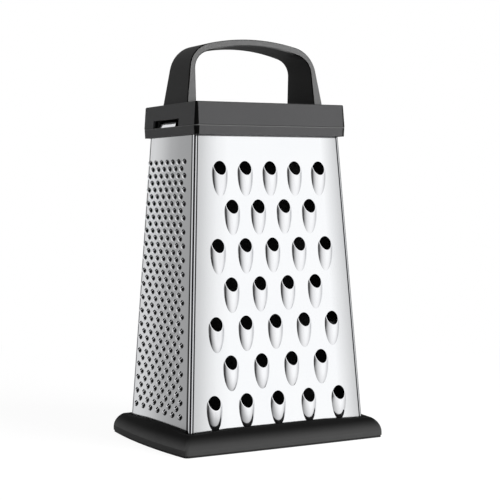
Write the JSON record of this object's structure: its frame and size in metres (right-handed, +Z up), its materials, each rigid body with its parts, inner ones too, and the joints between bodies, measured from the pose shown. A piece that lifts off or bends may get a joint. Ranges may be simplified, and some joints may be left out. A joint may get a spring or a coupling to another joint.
{
  "type": "box grater",
  "caption": "Tapered steel box grater with coarse, fine, medium and slicing faces, a moulded cap with a carrying bow, and a wide moulded foot with a soft sole.",
  "frame": {"origin": "centre of the underside of the sole", "axes": "+Z up the grater, -Y out of the coarse front, -X out of the fine side"},
  "size_m": [0.1336, 0.1002, 0.23],
  "materials": {
    "steel": "bright satin sheet",
    "cap_plastic": "fine satin moulding",
    "foot_plastic": "fine satin moulding",
    "sole_rubber": "matt"
  },
  "bodies": {
    "root": {"coarse_panel": "steel", "fine_panel": "steel", "medium_panel": "steel", "slicer_panel": "steel", "handle_crown": "cap_plastic", "cap_collar": "cap_plastic", "base_ring": "foot_plastic", "non_slip_sole": "sole_rubber"}
  },
  "joints": []
}
